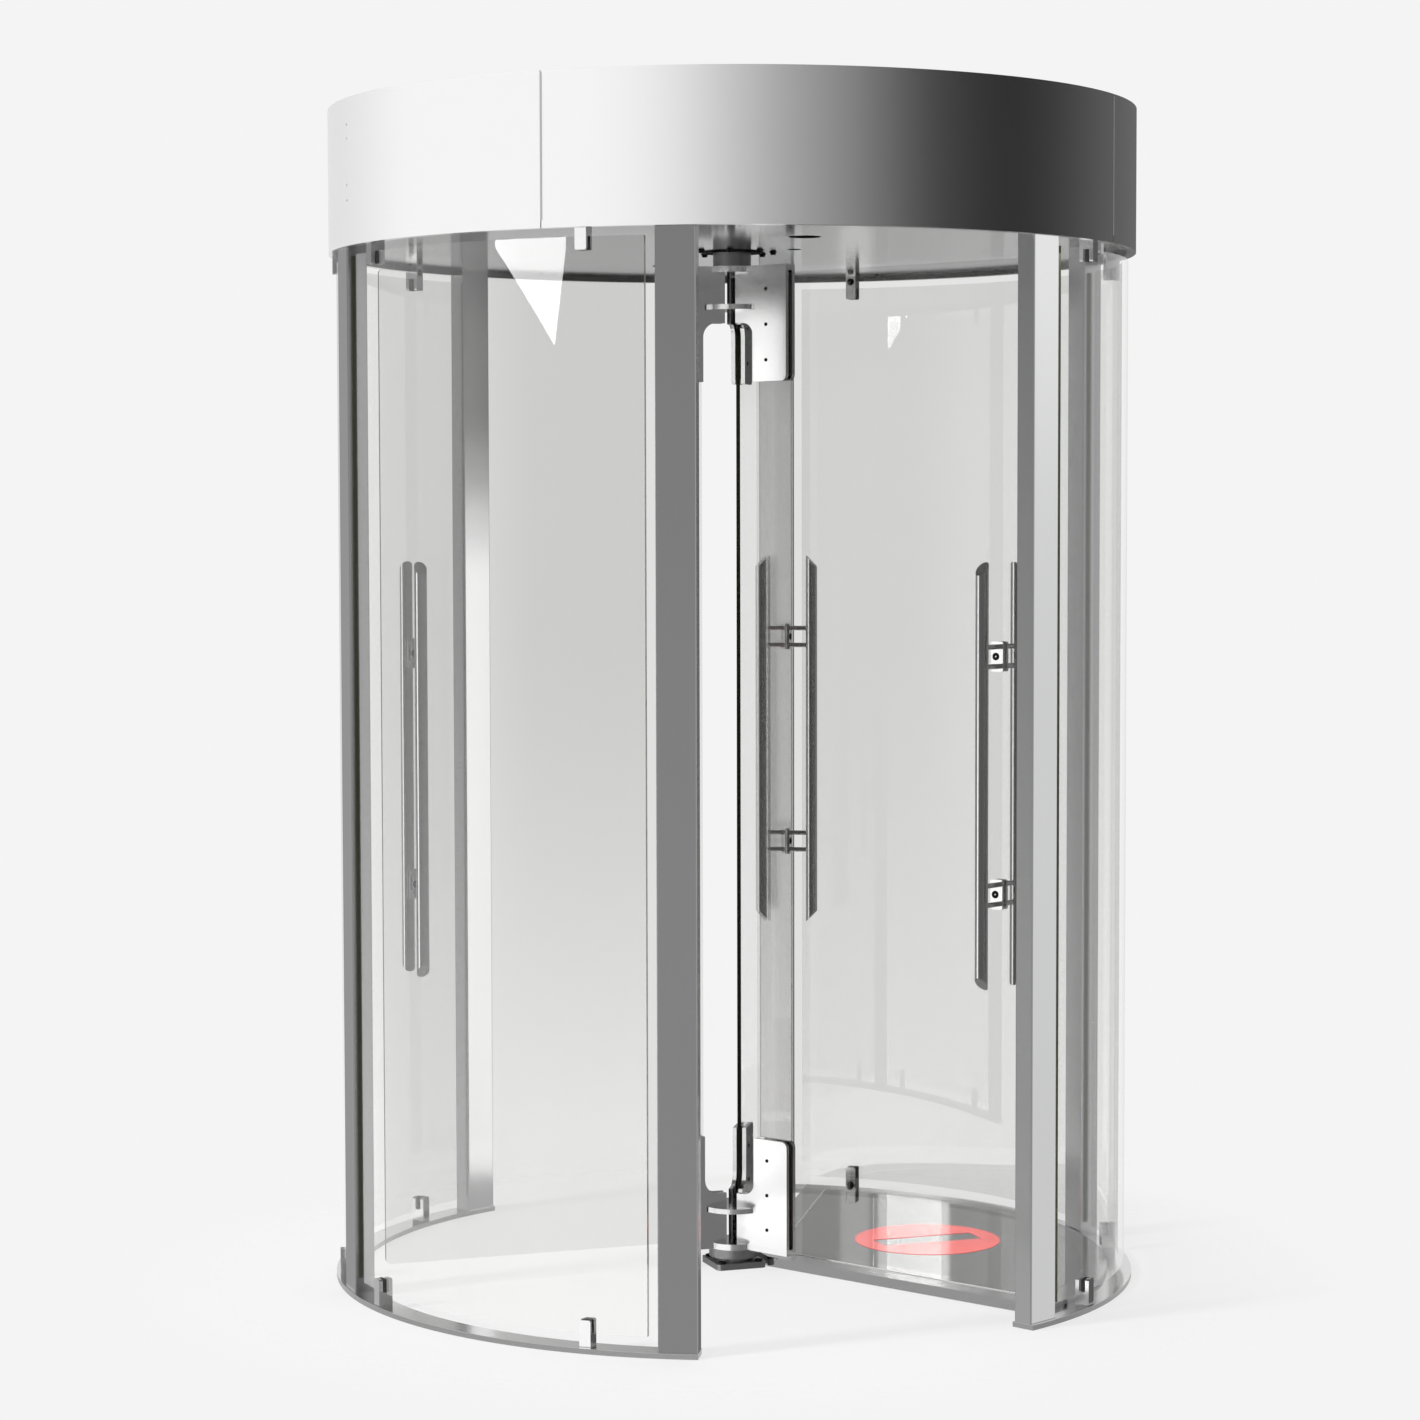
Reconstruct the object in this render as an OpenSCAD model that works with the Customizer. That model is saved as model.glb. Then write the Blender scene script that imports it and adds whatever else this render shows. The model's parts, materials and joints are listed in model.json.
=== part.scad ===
// Full-height turnstile. A rotor with three glass wings turns between two curved
// glass walls, which stand on six posts under a drum-shaped canopy.
// The origin is on the rotor's axis at floor level, with Z up. The two openings
// face -Y and +Y. Azimuths start at -Y and grow towards +X.

/* [Overall] */
// Outside diameter of the canopy and of the floor rings
overall_d = 1600; // [1500:10:1950]
// Height from the floor to the top of the canopy
overall_h = 2310; // [1900:10:2800]
// Height of the canopy's side
canopy_h = 280; // [150:10:400]

/* [Posts] */
// Width of a post, along the wall
post_w = 74; // [50:1:90]
// Depth of a post, across the wall
post_t = 40; // [30:1:50]
// Wall of the post's tube
post_wall = 3; // [2:0.5:5]
// Rounding of the post's long edges
post_corner_r = 3; // [1:0.5:6]
// Angle from the middle of an opening to the posts beside it
jamb_angle = 27; // [24:0.5:33]
// How far the posts' outer faces stand inside the canopy's edge
post_setback = 5; // [2:1:12]

/* [Floor rings] */
// Thickness of the floor rings
ring_h = 10; // [6:1:20]
// How far the floor rings reach inside the posts
ring_lip = 3; // [1:1:30]

/* [Canopy] */
// Thickness of the canopy's sheet metal
sheet_t = 3; // [2:0.5:4]
// Width of the lips at the top and the bottom of the canopy's side
lip_w = 18; // [16:1:30]
// How far the soffit lies above the bottom lip
soffit_rise = 10; // [6:1:25]
// Gap between two panels of the canopy's side
seam_w = 2; // [1:0.5:4]
// Thickness of the roof plate
roof_t = 4; // [2:0.5:8]
// Radius of the opening in the soffit for the rotor
soffit_hole_r = 50; // [46:1:60]
// Side of the square head beam
beam_size = 100; // [70:5:110]
// Wall of the head beam
beam_wall = 5; // [3:1:8]

/* [Downlights] */
// Diameter of the downlights
light_d = 62; // [50:1:80]
// Distance of the downlights from the axis
light_r = 407; // [300:1:600]
// Height of the downlights' housings
light_h = 60; // [40:5:90]
// Diameter of the sensor hole beside the rotor
sensor_d = 28; // [20:1:32]
// Distance of the sensor hole from the axis
sensor_r = 141; // [130:1:160]
// Azimuth of the sensor hole
sensor_angle = 41; // [35:1:60]

/* [Wall glass] */
// Thickness of the curved wall glass
drum_glass_t = 12; // [8:1:14]
// Depth of the glass's outer face inside the canopy's edge
drum_glass_setback = 15; // [13:1:18]
// Gap between the wall glass and the posts
drum_glass_side_gap = 20; // [10:1:40]
// Height of the glass's bottom edge above the floor
drum_glass_bottom = 35; // [28:1:45]
// Gap between the glass's top edge and the soffit
drum_glass_top_gap = 26; // [22:1:32]

/* [Clips] */
// Width of the clips that hold the wall glass
clip_w = 22; // [16:1:40]
// Depth of the clips
clip_t = 28; // [26:1:32]
// Height of the clips
clip_h = 50; // [45:1:60]
// Distance from a glass panel's end at a jamb post to the nearest clip
clip_inset = 115; // [50:5:150]
// Distance from a glass panel's end at a side post to the nearest clip
side_clip_inset = 90; // [50:5:150]
// Rounding of the corners at a clip's free end
clip_corner_r = 3.5; // [1:0.5:8]
// Diameter of the sunk screw head in a clip's inner face
clip_head_d = 16; // [10:1:18]
// Diameter of the screw in a clip
clip_screw_d = 8; // [5:1:9]
// Distance from the clip's seat to the screw
clip_screw_z = 12; // [10:1:14]

/* [Rotor hubs] */
// Azimuth of the first wing
wing_start = -90; // [-120:1:120]
// Thickness of the star plates
star_t = 12; // [8:1:16]
// Radius of the star plates' round middle
star_r = 50; // [46:1:56]
// Thickness of the clamp plates
plate_t = 8; // [5:0.5:10]
// Height of the clamp plates
plate_h = 217; // [200:1:300]
// Distance from the axis to the clamp plates' inner edges
plate_in_r = 20; // [20:1:26]
// Distance from the axis to the clamp plates' outer edges
plate_out_r = 150; // [140:1:200]
// Rounding of the clamp plates' outer corners
plate_corner_r = 12; // [6:1:20]
// Distance from the axis to the notch's upright edge
notch_r = 66; // [60:1:75]
// Height at which the notch starts, from the star plate
notch_z = 100; // [90:1:110]
// Rounding in the notch's corner
notch_fillet = 28; // [15:1:35]
// Thickness of the rubber pads between the clamp plates and the glass
gasket_t = 2; // [1:0.5:4]
// Diameter of the clamp plates' screw holes
plate_hole_d = 5; // [4:0.5:8]
// Distance from the axis to the screw holes
plate_hole_r = 99; // [90:1:120]
// Height of the first screw hole, from the star plate
plate_hole_z = 35; // [25:1:45]
// Spacing of the screw holes
plate_hole_pitch = 70; // [50:1:80]
// Thickness of the gusset discs
disc_t = 10; // [6:1:12]
// Radius of the gusset discs
disc_r = 62; // [56:1:64]
// Distance from the star plates to the gusset discs
disc_gap = 64; // [50:1:75]

/* [Rotor head and foot] */
// Radius of the collar under the soffit
collar_r = 38; // [35:1:42]
// Height of the collar below the soffit
collar_h = 30; // [20:1:45]
// Radius of the head shaft
shaft_r = 25; // [20:1:28]
// Radius of the bearing housing in the head beam
housing_r = 45; // [38:1:48]
// Height of the foot plate's top above the floor
foot_plate_h = 12; // [8:1:15]
// Side of the square foot plate
foot_plate_w = 104; // [100:1:114]
// Corner rounding of the foot plate
foot_plate_corner_r = 10; // [4:1:20]
// Radius of the foot bearing's boss
boss_r = 38; // [32:1:42]
// Height of the foot bearing's boss
boss_h = 8; // [5:1:12]
// Radius of the rotor's foot flange
flange_r = 50; // [46:1:52]
// Thickness of the rotor's foot flange
flange_t = 18; // [10:1:24]
// Radius of the pin in the foot bearing
pin_r = 20; // [14:1:24]
// Running clearance of the bearings
bearing_gap = 0.5; // [0.3:0.1:0.8]

/* [Wings] */
// Thickness of the wing glass
wing_glass_t = 8; // [6:1:12]
// Gap between the wings and the posts' inner faces
wing_gap = 31; // [25:1:60]
// Gap between the wing glass and the star plates
wing_end_gap = 4; // [2:1:8]
// Rounding of the wing glass's outer corners
wing_corner_r = 12; // [2:1:40]

/* [Pull bars] */
// Diameter of the pull bars
bar_d = 25; // [20:1:40]
// Length of the pull bars
bar_len = 806; // [600:1:1000]
// Height of the pull bars' lower ends
bar_z = 622; // [500:1:750]
// Distance from the wing glass's outer edge to the pull bars
bar_inset = 65; // [50:1:120]
// Distance from the glass's middle to the pull bars' middle
bar_offset = 56; // [45:1:70]
// Distance from the pull bars' ends to the middle of the clamps
clamp_inset = 178; // [80:1:250]
// Height of a clamp
clamp_h = 57; // [50:1:80]
// Width of a clamp, along the wing
clamp_w = 28; // [20:1:36]
// Thickness of a clamp's half
clamp_t = 5; // [4:0.5:12]
// Rounding of a clamp's corners
clamp_corner_r = 4; // [1:0.5:8]
// Diameter of the rods between clamp and bar
rod_d = 10; // [6:1:14]
// Spacing of the rods
rod_pitch = 37; // [30:1:60]

/* [Platform] */
// Height of the platform
platform_h = 20; // [15:1:40]
// Distance from the wings' middle planes to the platform's edges
platform_setback = 30; // [22:1:50]
// Gap between the platform and the floor ring
platform_gap = 0.5; // [0.3:0.1:3]
// Width of the platform's border
border_w = 50; // [30:1:80]
// Thickness of the platform's top panel
panel_t = 4; // [2:0.5:8]
// Gap around the top panel
panel_gap = 1; // [0.5:0.5:3]
// Gap between the platform and the foot plate
foot_gap = 6; // [5:1:15]

/* [Hidden] */
$fn = 96;
eps = 1;

steel = [0.62, 0.62, 0.63];
dark_steel = [0.35, 0.35, 0.36];
rubber = [0.05, 0.05, 0.05];
glass = [0.75, 0.82, 0.78, 0.4];

// Radii of the walls
canopy_r = overall_d / 2;
post_out_r = canopy_r - post_setback;
post_in_r = post_out_r - post_t;
ring_in_r = post_in_r - ring_lip;
drum_glass_out_r = canopy_r - drum_glass_setback;
drum_glass_in_r = drum_glass_out_r - drum_glass_t;
drum_glass_mid_r = (drum_glass_out_r + drum_glass_in_r) / 2;
lip_in_r = canopy_r - lip_w;
edge_gap = 0.5;
fit_gap = 0.3;
clip_head_depth = clip_t / 4;

// Heights, from the floor up
canopy_z = overall_h - canopy_h;
soffit_z = canopy_z + soffit_rise;
beam_z = soffit_z + sheet_t;
drum_glass_top = soffit_z - drum_glass_top_gap;
flange_z = foot_plate_h + boss_h;
star_bottom_z = flange_z + flange_t;
hub_bottom_z = star_bottom_z + star_t;
star_top_z = soffit_z - collar_h - star_t;
hub_top_z = star_top_z;

// Rotor
wing_count = 3;
wing_out_r = post_in_r - wing_gap;
wing_pitch = 360 / wing_count;
hub_half_t = wing_glass_t / 2 + gasket_t + plate_t;
bar_r = wing_out_r - bar_inset;
plate_mid = wing_glass_t / 2 + gasket_t;

// Azimuths at which the posts and the wall glass stand
function azimuth_of(arc, radius) = arc / radius * 180 / PI;
post_half_angle = asin(post_w / 2 / drum_glass_mid_r);
glass_margin = post_half_angle + azimuth_of(drum_glass_side_gap, drum_glass_mid_r);
clip_margin = glass_margin + azimuth_of(clip_inset, drum_glass_mid_r);
glass_from = jamb_angle + glass_margin;
glass_to = 90 - glass_margin;
side_clip_margin = glass_margin + azimuth_of(side_clip_inset, drum_glass_mid_r);
clip_angles = [
    jamb_angle + clip_margin, 90 - side_clip_margin,
    90 + side_clip_margin, 180 - jamb_angle - clip_margin
];

// Points the children's X axis outwards at an azimuth
module turn(azimuth) rotate([0, 0, azimuth - 90]) children();

// Turns a radius-height profile from one azimuth to another
module sweep(from, to) turn(from) rotate_extrude(angle = to - from) children();

module rounded_rect(w, d, r) {
    square([w - 2 * r, d], center = true);
    square([w, d - 2 * r], center = true);
    for (x = [-1, 1], y = [-1, 1])
        translate([x * (w / 2 - r), y * (d / 2 - r)]) circle(r);
}

// Space between the two jamb posts of an opening, seen from above
module opening_wedge(azimuth) {
    apex = post_w / 2 / sin(jamb_angle);
    reach = overall_d;
    turn(azimuth)
        polygon([
            [apex, 0],
            [apex + reach * cos(jamb_angle), reach * sin(jamb_angle)],
            [apex + reach * cos(jamb_angle), -reach * sin(jamb_angle)]
        ]);
}

// Flat ring under one wall, cut off at the jamb posts
module floor_ring(side) color(steel)
    linear_extrude(ring_h)
        difference() {
            circle(canopy_r);
            circle(ring_in_r);
            opening_wedge(0);
            opening_wedge(180);
            translate([side > 0 ? -overall_d : 0, -overall_d]) square([overall_d, 2 * overall_d]);
        }

// Tube from the ring up to the soffit, cut back at its top behind the canopy's lip
module post(azimuth) color(steel)
    turn(azimuth) difference() {
        translate([post_out_r - post_t / 2, 0, ring_h])
            linear_extrude(soffit_z - ring_h)
                difference() {
                    rounded_rect(post_t, post_w, post_corner_r);
                    square([post_t - 2 * post_wall, post_w - 2 * post_wall], center = true);
                }
        translate([lip_in_r - 2 * edge_gap, -post_w, canopy_z - edge_gap])
            cube([overall_d, 2 * post_w, canopy_h]);
        translate([0, -post_w, soffit_z]) cube([overall_d, 2 * post_w, canopy_h]);
    }

module wall_glass(from, to) color(glass)
    sweep(from, to)
        translate([drum_glass_in_r, drum_glass_bottom])
            square([drum_glass_t, drum_glass_top - drum_glass_bottom]);

// Face of a clip, seen along the radius, with its free end rounded
module clip_outline() {
    translate([-clip_w / 2, 0]) square([clip_w, clip_h - clip_corner_r]);
    translate([clip_corner_r - clip_w / 2, 0]) square([clip_w - 2 * clip_corner_r, clip_h]);
    for (side = [-1, 1])
        translate([side * (clip_w / 2 - clip_corner_r), clip_h - clip_corner_r])
            circle(clip_corner_r);
}

// Forked block: the glass stands in its slot, above a screw with a sunk head
module clip(azimuth, seat_z, slot_depth, up) {
    mid_r = drum_glass_mid_r;
    turn(azimuth) translate([mid_r, 0, seat_z]) mirror([0, 0, up ? 0 : 1]) difference() {
        translate([-clip_t / 2, 0, 0]) rotate([90, 0, 90]) linear_extrude(clip_t) clip_outline();
        translate([-mid_r, 0, clip_h - slot_depth]) difference() {
            cylinder(r = drum_glass_out_r + fit_gap, h = clip_h);
            translate([0, 0, -eps])
                cylinder(r = drum_glass_in_r - fit_gap, h = clip_h + 2 * eps);
        }
        translate([-clip_t / 2 - eps, 0, clip_screw_z]) rotate([0, 90, 0])
            cylinder(d = clip_head_d, h = clip_head_depth + eps);
        translate([-clip_t / 2, 0, clip_screw_z]) rotate([0, 90, 0])
            cylinder(d = clip_screw_d, h = clip_t - clip_head_depth);
    }
}

module bottom_clips(side) color(steel)
    for (a = clip_angles)
        clip(side * a, ring_h, ring_h + clip_h - drum_glass_bottom, true);

module top_clips(side) color(steel)
    for (a = clip_angles)
        difference() {
            clip(side * a, soffit_z, clip_h - drum_glass_top_gap, false);
            turn(side * a)
                translate([lip_in_r - 2 * edge_gap, -clip_w, canopy_z - edge_gap])
                    cube([lip_w, 2 * clip_w, canopy_h]);
        }

// Quarter of the canopy's side: a bent sheet with a lip at the top and a
// turned-up lip at the bottom, on which the soffit rests
module canopy_panel(azimuth) color(steel) {
    half = 45 - azimuth_of(seam_w / 2, canopy_r);
    sweep(azimuth - half, azimuth + half)
        polygon([
            [lip_in_r, canopy_z],
            [canopy_r, canopy_z],
            [canopy_r, overall_h],
            [lip_in_r, overall_h],
            [lip_in_r, overall_h - sheet_t],
            [canopy_r - sheet_t, overall_h - sheet_t],
            [canopy_r - sheet_t, canopy_z + sheet_t],
            [lip_in_r + sheet_t, canopy_z + sheet_t],
            [lip_in_r + sheet_t, soffit_z],
            [lip_in_r, soffit_z]
        ]);
}

module canopy_soffit() color(steel)
    difference() {
        translate([0, 0, soffit_z])
            cylinder(r = canopy_r - sheet_t - edge_gap, h = sheet_t, $fn = 180);
        translate([0, 0, soffit_z - eps]) {
            cylinder(r = soffit_hole_r, h = sheet_t + 2 * eps);
            for (a = [0, 180])
                turn(a) translate([light_r, 0, 0]) cylinder(d = light_d, h = sheet_t + 2 * eps);
            turn(sensor_angle) translate([sensor_r, 0, 0])
                cylinder(d = sensor_d, h = sheet_t + 2 * eps);
        }
    }

module canopy_roof() color(steel)
    translate([0, 0, overall_h - sheet_t - roof_t])
        cylinder(r = canopy_r - sheet_t - edge_gap, h = roof_t, $fn = 180);

// Square tube across the canopy, above the two side posts
module head_beam() color(steel) {
    length = 2 * (canopy_r - lip_w - sheet_t);
    translate([0, 0, beam_z + beam_size / 2]) difference() {
        cube([length, beam_size, beam_size], center = true);
        cube([length + 2 * eps, beam_size - 2 * beam_wall, beam_size - 2 * beam_wall], center = true);
        cylinder(r = housing_r, h = beam_size + 2 * eps, center = true);
    }
}

// Flanged housing that hangs in the head beam and carries the head shaft
module head_bearing() color(dark_steel)
    difference() {
        union() {
            translate([0, 0, beam_z]) cylinder(r = housing_r - edge_gap, h = beam_size);
            translate([0, 0, beam_z + beam_size])
                cylinder(r = beam_size / 2 - beam_wall, h = beam_wall);
        }
        translate([0, 0, beam_z - eps])
            cylinder(r = shaft_r + bearing_gap, h = beam_size + beam_wall + 2 * eps);
    }

// Round housings that stand in the soffit's holes, open at the bottom
module downlights() color(dark_steel)
    for (a = [0, 180])
        turn(a) translate([light_r, 0, soffit_z + sheet_t]) difference() {
            cylinder(d = light_d + 2 * sheet_t, h = light_h);
            translate([0, 0, -eps]) cylinder(d = light_d, h = light_h - sheet_t + eps);
        }

// Sector between the two right-hand wings, seen from above
module platform_outline(inset) {
    half_angle = wing_pitch / 2;
    apex = (platform_setback + inset) / sin(half_angle);
    reach = overall_d;
    intersection() {
        circle(ring_in_r - platform_gap - inset);
        polygon([
            [apex, 0],
            [apex + reach * cos(half_angle), reach * sin(half_angle)],
            [apex + reach * cos(half_angle), -reach * sin(half_angle)]
        ]);
    }
}

module platform_base() color(steel)
    difference() {
        linear_extrude(platform_h) platform_outline(0);
        translate([0, 0, platform_h - panel_t]) linear_extrude(panel_t + eps)
            platform_outline(border_w);
        translate([0, 0, -eps]) linear_extrude(platform_h + 2 * eps)
            square(foot_plate_w + 2 * foot_gap, center = true);
    }

module platform_panel() color([0.55, 0.55, 0.56])
    translate([0, 0, platform_h - panel_t]) linear_extrude(panel_t)
        platform_outline(border_w + panel_gap);

// Square plate with a boss and a blind bore for the rotor's foot pin
module foot_bearing() color(dark_steel)
    difference() {
        union() {
            linear_extrude(foot_plate_h)
                rounded_rect(foot_plate_w, foot_plate_w, foot_plate_corner_r);
            cylinder(r = boss_r, h = flange_z - bearing_gap);
        }
        translate([0, 0, foot_plate_h / 3]) cylinder(r = pin_r + bearing_gap, h = flange_z);
    }

// Rotor flange and pin that turn in the foot bearing
module foot_shaft() color(dark_steel) {
    translate([0, 0, flange_z]) cylinder(r = flange_r, h = flange_t);
    translate([0, 0, foot_plate_h / 3 + bearing_gap])
        cylinder(r = pin_r, h = flange_z - foot_plate_h / 3);
}

// Rotor collar below the soffit and the shaft that turns in the head bearing
module head_shaft() color(dark_steel) {
    translate([0, 0, star_top_z + star_t]) cylinder(r = collar_r, h = collar_h + sheet_t - eps);
    translate([0, 0, soffit_z]) cylinder(r = shaft_r, h = beam_size + beam_wall + 2 * sheet_t);
}

// Plate with an arm over each wing and a round middle
module star(z) color(steel)
    translate([0, 0, z]) {
        cylinder(r = star_r, h = star_t);
        for (i = [0 : wing_count - 1])
            turn(wing_start + i * wing_pitch)
                translate([0, -hub_half_t, 0]) cube([plate_out_r, 2 * hub_half_t, star_t]);
    }

// Outline of a clamp plate: X from the axis, Y from the star plate
module clamp_plate_outline() {
    difference() {
        union() {
            translate([plate_in_r, 0]) square([plate_out_r - plate_in_r, notch_z]);
            translate([notch_r, 0]) square([plate_out_r - notch_r, plate_h - plate_corner_r]);
            translate([notch_r, 0]) square([plate_out_r - plate_corner_r - notch_r, plate_h]);
            translate([plate_out_r - plate_corner_r, plate_h - plate_corner_r])
                circle(plate_corner_r);
            translate([notch_r - notch_fillet, notch_z - eps])
                square([notch_fillet + eps, notch_fillet + eps]);
        }
        translate([notch_r - notch_fillet, notch_z + notch_fillet]) circle(notch_fillet);
        translate([notch_r - 2 * notch_fillet, notch_z])
            square([notch_fillet, notch_fillet + 2 * eps]);
        translate([0, disc_gap]) square([disc_r + edge_gap, disc_t]);
        for (i = [0 : 2])
            translate([plate_hole_r, plate_hole_z + i * plate_hole_pitch])
                circle(d = plate_hole_d);
    }
}

// Lays out an outline on both sides of every wing, at a distance from its middle
module on_wing_faces(distance, thickness)
    for (i = [0 : wing_count - 1], side = [0, 1])
        turn(wing_start + i * wing_pitch) mirror([0, side, 0])
            translate([0, distance + thickness, 0]) rotate([90, 0, 0])
                linear_extrude(thickness) children();

module clamp_plates_bottom() color(steel)
    translate([0, 0, hub_bottom_z]) on_wing_faces(plate_mid, plate_t) clamp_plate_outline();

module clamp_plates_top() color(steel)
    translate([0, 0, hub_top_z]) mirror([0, 0, 1])
        on_wing_faces(plate_mid, plate_t) clamp_plate_outline();

module gasket_outline()
    translate([notch_r, wing_end_gap])
        square([plate_out_r - notch_r, plate_h - plate_corner_r - wing_end_gap]);

module gaskets() color(rubber) {
    translate([0, 0, hub_bottom_z])
        on_wing_faces(wing_glass_t / 2, gasket_t) gasket_outline();
    translate([0, 0, hub_top_z]) mirror([0, 0, 1])
        on_wing_faces(wing_glass_t / 2, gasket_t) gasket_outline();
}

module gusset(z) color(steel) translate([0, 0, z]) cylinder(r = disc_r, h = disc_t);

// Outline of a wing's glass: X from the axis, Y from its lower edge
module wing_outline(height) {
    width = wing_out_r - notch_r;
    translate([notch_r, 0]) square([width - wing_corner_r, height]);
    translate([notch_r, wing_corner_r]) square([width, height - 2 * wing_corner_r]);
    for (z = [wing_corner_r, height - wing_corner_r])
        translate([wing_out_r - wing_corner_r, z]) circle(wing_corner_r);
}

module wing_glass(i) color(glass)
    turn(wing_start + (i - 1) * wing_pitch)
        translate([0, wing_glass_t / 2, hub_bottom_z + wing_end_gap]) rotate([90, 0, 0])
            linear_extrude(wing_glass_t)
                wing_outline(hub_top_z - hub_bottom_z - 2 * wing_end_gap);

// Upright bars on both sides of a wing, their ends cut at 45 degrees
module pull_bars(i) color(steel)
    turn(wing_start + (i - 1) * wing_pitch)
        for (side = [0, 1])
            mirror([0, side, 0]) translate([bar_r, bar_offset, bar_z]) difference() {
                cylinder(d = bar_d, h = bar_len);
                translate([-bar_d, -bar_d / 2, 0]) rotate([45, 0, 0])
                    translate([0, 0, -2 * bar_d]) cube([2 * bar_d, 3 * bar_d, 2 * bar_d]);
                translate([-bar_d, -bar_d / 2, bar_len]) rotate([-45, 0, 0])
                    cube([2 * bar_d, 3 * bar_d, 2 * bar_d]);
            }

// Clamp halves on the glass, each with two rods that reach its pull bar
module bar_clamps(i) color(steel)
    turn(wing_start + (i - 1) * wing_pitch)
        for (side = [0, 1], z = [clamp_inset, bar_len - clamp_inset])
            mirror([0, side, 0]) translate([bar_r, wing_glass_t / 2, bar_z + z]) {
                translate([0, clamp_t, 0]) rotate([90, 0, 0]) linear_extrude(clamp_t)
                    rounded_rect(clamp_w, clamp_h, clamp_corner_r);
                difference() {
                    for (rod = [-1, 1])
                        translate([0, 0, rod * rod_pitch / 2]) rotate([-90, 0, 0])
                            cylinder(d = rod_d, h = bar_offset - wing_glass_t / 2);
                    translate([0, bar_offset - wing_glass_t / 2, -clamp_h / 2])
                        cylinder(d = bar_d, h = clamp_h);
                }
            }

floor_ring(-1);  // floor_ring_left
floor_ring(1);  // floor_ring_right
post(-jamb_angle);  // post_front_left
post(-90);  // post_side_left
post(jamb_angle - 180);  // post_rear_left
post(jamb_angle);  // post_front_right
post(90);  // post_side_right
post(180 - jamb_angle);  // post_rear_right
wall_glass(-glass_to, -glass_from);  // wall_glass_front_left
wall_glass(glass_from - 180, glass_to - 180);  // wall_glass_rear_left
wall_glass(glass_from, glass_to);  // wall_glass_front_right
wall_glass(180 - glass_to, 180 - glass_from);  // wall_glass_rear_right
bottom_clips(-1);  // bottom_clips_left
bottom_clips(1);  // bottom_clips_right
top_clips(-1);  // top_clips_left
top_clips(1);  // top_clips_right
canopy_panel(0);  // canopy_panel_front
canopy_panel(90);  // canopy_panel_right
canopy_panel(180);  // canopy_panel_rear
canopy_panel(270);  // canopy_panel_left
canopy_soffit();
canopy_roof();
head_beam();
head_bearing();
downlights();
platform_base();
platform_panel();
foot_bearing();
head_shaft();
star(star_top_z);  // star_top
star(star_bottom_z);  // star_bottom
foot_shaft();
gusset(hub_top_z - disc_gap - disc_t);  // gusset_top
gusset(hub_bottom_z + disc_gap);  // gusset_bottom
clamp_plates_top();
clamp_plates_bottom();
gaskets();
wing_glass(1);  // wing_glass_1
wing_glass(2);  // wing_glass_2
wing_glass(3);  // wing_glass_3
pull_bars(1);  // pull_bars_1
pull_bars(2);  // pull_bars_2
pull_bars(3);  // pull_bars_3
bar_clamps(1);  // bar_clamps_1
bar_clamps(2);  // bar_clamps_2
bar_clamps(3);  // bar_clamps_3
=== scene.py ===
import bpy
import bmesh
import json
import math
from mathutils import Matrix, Vector

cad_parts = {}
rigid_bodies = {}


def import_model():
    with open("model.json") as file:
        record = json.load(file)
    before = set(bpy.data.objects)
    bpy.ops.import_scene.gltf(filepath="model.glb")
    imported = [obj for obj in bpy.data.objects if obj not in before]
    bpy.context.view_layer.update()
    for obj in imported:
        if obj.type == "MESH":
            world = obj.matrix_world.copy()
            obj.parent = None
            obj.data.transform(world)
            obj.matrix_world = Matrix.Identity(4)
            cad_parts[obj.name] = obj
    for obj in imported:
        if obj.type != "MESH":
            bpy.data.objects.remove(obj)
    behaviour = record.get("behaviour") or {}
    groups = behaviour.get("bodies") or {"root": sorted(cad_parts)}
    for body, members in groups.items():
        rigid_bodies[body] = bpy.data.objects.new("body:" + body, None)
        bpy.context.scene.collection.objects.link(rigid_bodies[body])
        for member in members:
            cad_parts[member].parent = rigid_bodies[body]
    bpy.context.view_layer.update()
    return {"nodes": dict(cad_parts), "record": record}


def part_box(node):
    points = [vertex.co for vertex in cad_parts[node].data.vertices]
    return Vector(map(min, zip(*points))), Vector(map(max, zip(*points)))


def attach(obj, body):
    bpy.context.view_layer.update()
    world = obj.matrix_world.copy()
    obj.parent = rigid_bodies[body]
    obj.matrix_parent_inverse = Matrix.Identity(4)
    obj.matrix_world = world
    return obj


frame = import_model()
scene = bpy.context.scene
print("turnstile loaded,", len(frame["nodes"]), "parts")


lookFrom = {
    "azimuth": -19.72,     # degrees from the front opening, towards the left wall
    "distance": 6.9547,    # metres from the rotor's axis
    "height": 1.5227,
    "turnLeft": 0.378,     # degrees
    "tiltDown": 3.268,
    "roll": 0.123,
    "lens": 87.88,         # millimetres
    "sensor": 36,
    "sight": 200,          # metres that the camera sees
    "panes": 32,           # clear sheets that a sight line may cross
}


def placeCamera(look):
    around = math.radians(look["azimuth"])
    distance = look["distance"]
    spot = Vector((distance * math.sin(around), -distance * math.cos(around), look["height"]))
    ahead = Vector((-math.sin(around), math.cos(around), 0))
    ahead.rotate(Matrix.Rotation(math.radians(look["turnLeft"]), 3, "Z"))
    tilt = math.radians(look["tiltDown"])
    ahead = ahead * math.cos(tilt) - Vector((0, 0, 1)) * math.sin(tilt)
    right = ahead.cross(Vector((0, 0, 1))).normalized()
    up = right.cross(ahead)
    lean = math.radians(look["roll"])
    leaning = right * math.cos(lean) - up * math.sin(lean)
    upright = up * math.cos(lean) + right * math.sin(lean)
    lens = bpy.data.cameras.new("lookCamera")
    lens.lens = look["lens"]
    lens.sensor_width = look["sensor"]
    lens.clip_end = look["sight"]
    eye = bpy.data.objects.new("lookCamera", lens)
    scene.collection.objects.link(eye)
    eye.matrix_world = Matrix.Translation(spot) @ Matrix((leaning, upright, -ahead)).transposed().to_4x4()
    scene.camera = eye


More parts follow.
